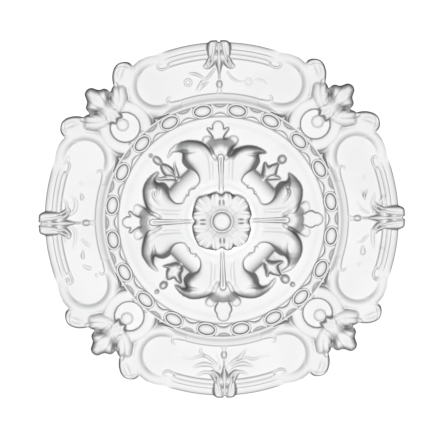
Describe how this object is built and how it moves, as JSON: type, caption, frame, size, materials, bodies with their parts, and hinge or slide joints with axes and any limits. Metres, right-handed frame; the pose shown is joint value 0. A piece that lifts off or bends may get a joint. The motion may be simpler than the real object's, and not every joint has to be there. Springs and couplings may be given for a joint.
{
  "type": "ceiling rose",
  "caption": "Round plaster ceiling rose in relief: four cartouche panels, bead-and-link ring, acanthus cross and a rosette, flat back for fixing to a ceiling.",
  "frame": {"origin": "centre of the flat back, on the ceiling plane", "axes": "+Z out of the back towards the ceiling, so the carved face looks down along -Z; +X to the right and -Y to the top of the face as the picture shows it"},
  "size_m": [0.7591, 0.7426, 0.0659],
  "materials": {
    "plaster": "matte white cast plaster, unpainted"
  },
  "bodies": {
    "root": {"ceiling_rose": "plaster"}
  },
  "joints": []
}
